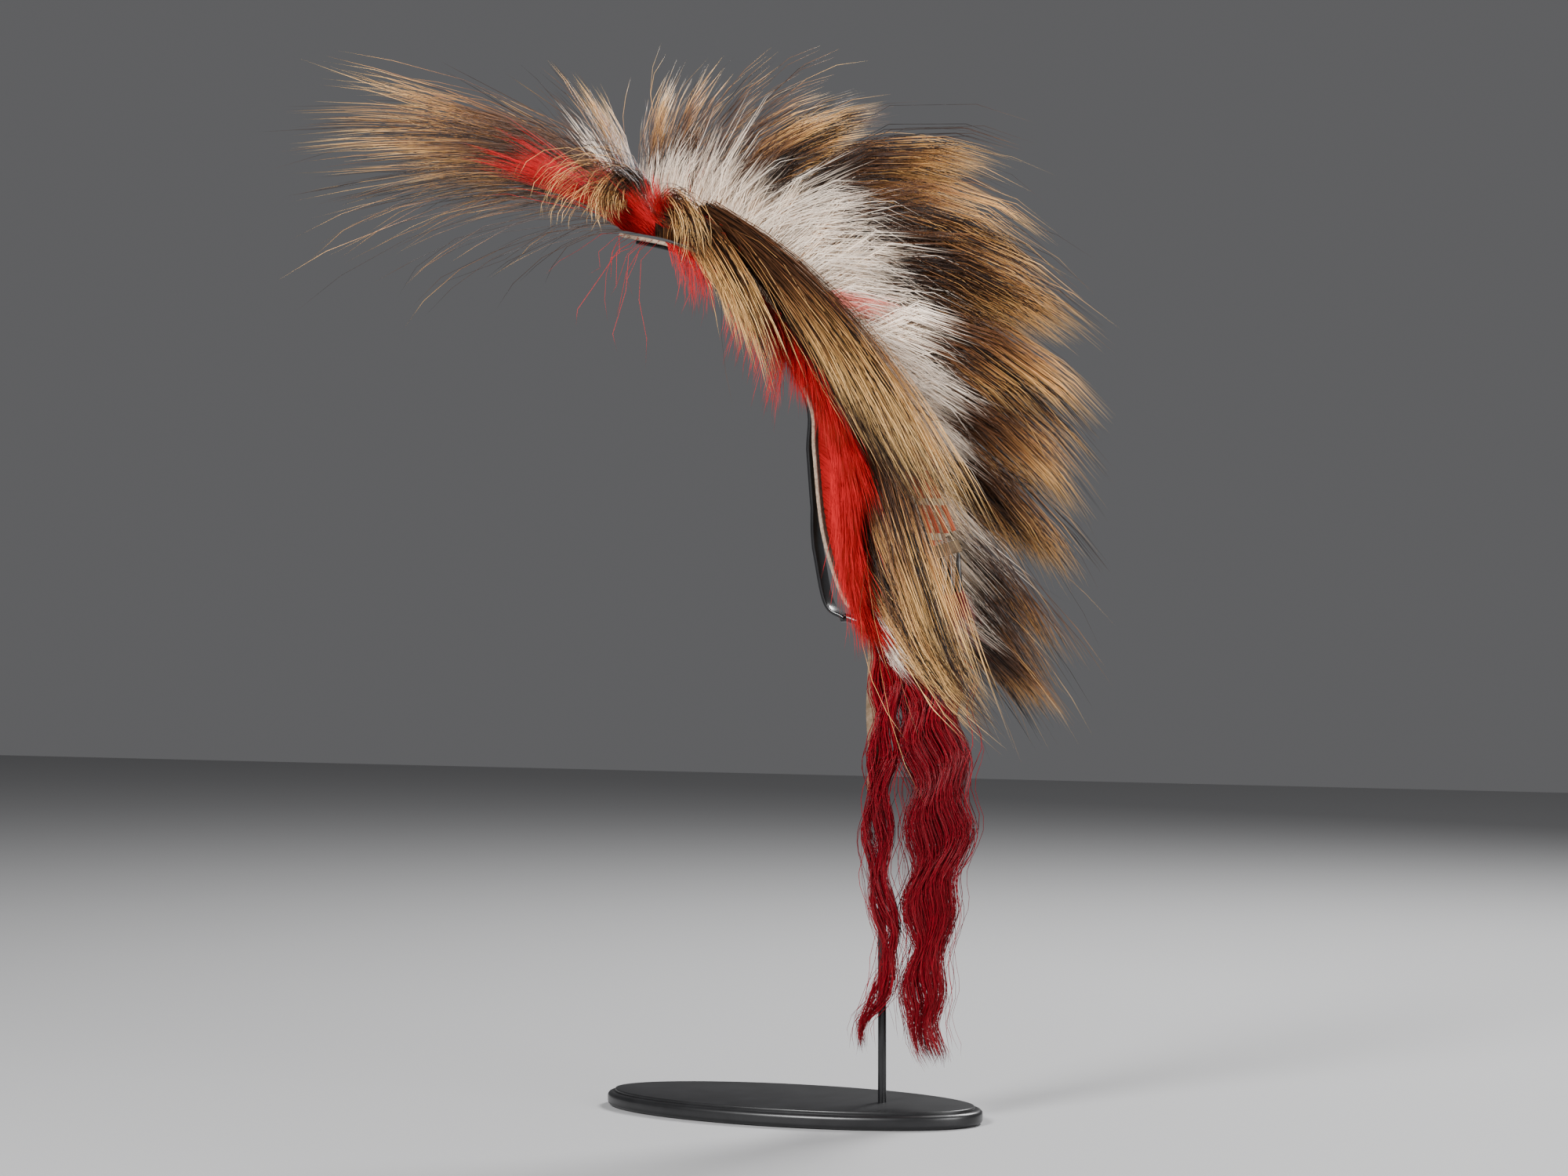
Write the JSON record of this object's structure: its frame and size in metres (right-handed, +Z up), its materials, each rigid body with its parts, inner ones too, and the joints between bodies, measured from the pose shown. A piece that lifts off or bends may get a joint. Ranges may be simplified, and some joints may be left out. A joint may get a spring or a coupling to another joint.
{
  "type": "roach headdress on display stand",
  "caption": "Roach headdress of red-dyed hair and banded guard hair on a bent hide strip, with quilled slats, metal cones and a horsehair tail, on a black rod stand with an oval board.",
  "frame": {"origin": "centre of the oval board's underside, on the surface that it stands on", "axes": "+Z up along the rod, +X towards the roach's back end, -Y towards its near side"},
  "size_m": [0.5923, 0.2419, 0.7892],
  "materials": {
    "black_board": "satin black paint",
    "black_metal": "semi-gloss black paint",
    "woven_hide": "woven tan-grey fibre and hide",
    "guard_hair": "long hair, cream at the root, dark brown, then golden tips",
    "red_hair": "short hair dyed red",
    "quillwork": "rawhide wrapped with orange-red and white quills",
    "tan_hide": "matt suede",
    "dark_metal": "dark tarnished sheet metal",
    "red_fluff": "dyed fluff",
    "tail_hair": "wavy horsehair dyed dark red"
  },
  "bodies": {
    "root": {"stand_base": "black_board", "stand_armature": "black_metal", "roach_base": "woven_hide", "guard_hair_near_crown": "guard_hair", "guard_hair_near_back": "guard_hair", "guard_hair_far_crown": "guard_hair", "guard_hair_far_back": "guard_hair", "guard_hair_front_near": "guard_hair", "guard_hair_front_far": "guard_hair", "red_hair_near_crown": "red_hair", "red_hair_near_back": "red_hair", "red_hair_far_crown": "red_hair", "red_hair_far_back": "red_hair", "quill_slat_1": "quillwork", "quill_slat_2": "quillwork", "quill_slat_3": "quillwork", "quill_slat_4": "quillwork", "hide_tab": "tan_hide", "hide_strap": "tan_hide", "metal_cone_1": "dark_metal", "metal_cone_2": "dark_metal", "metal_cone_3": "dark_metal", "red_fluff_1": "red_fluff", "red_fluff_2": "red_fluff", "red_fluff_3": "red_fluff", "tail_main_lock": "tail_hair", "tail_side_lock": "tail_hair"}
  },
  "joints": []
}
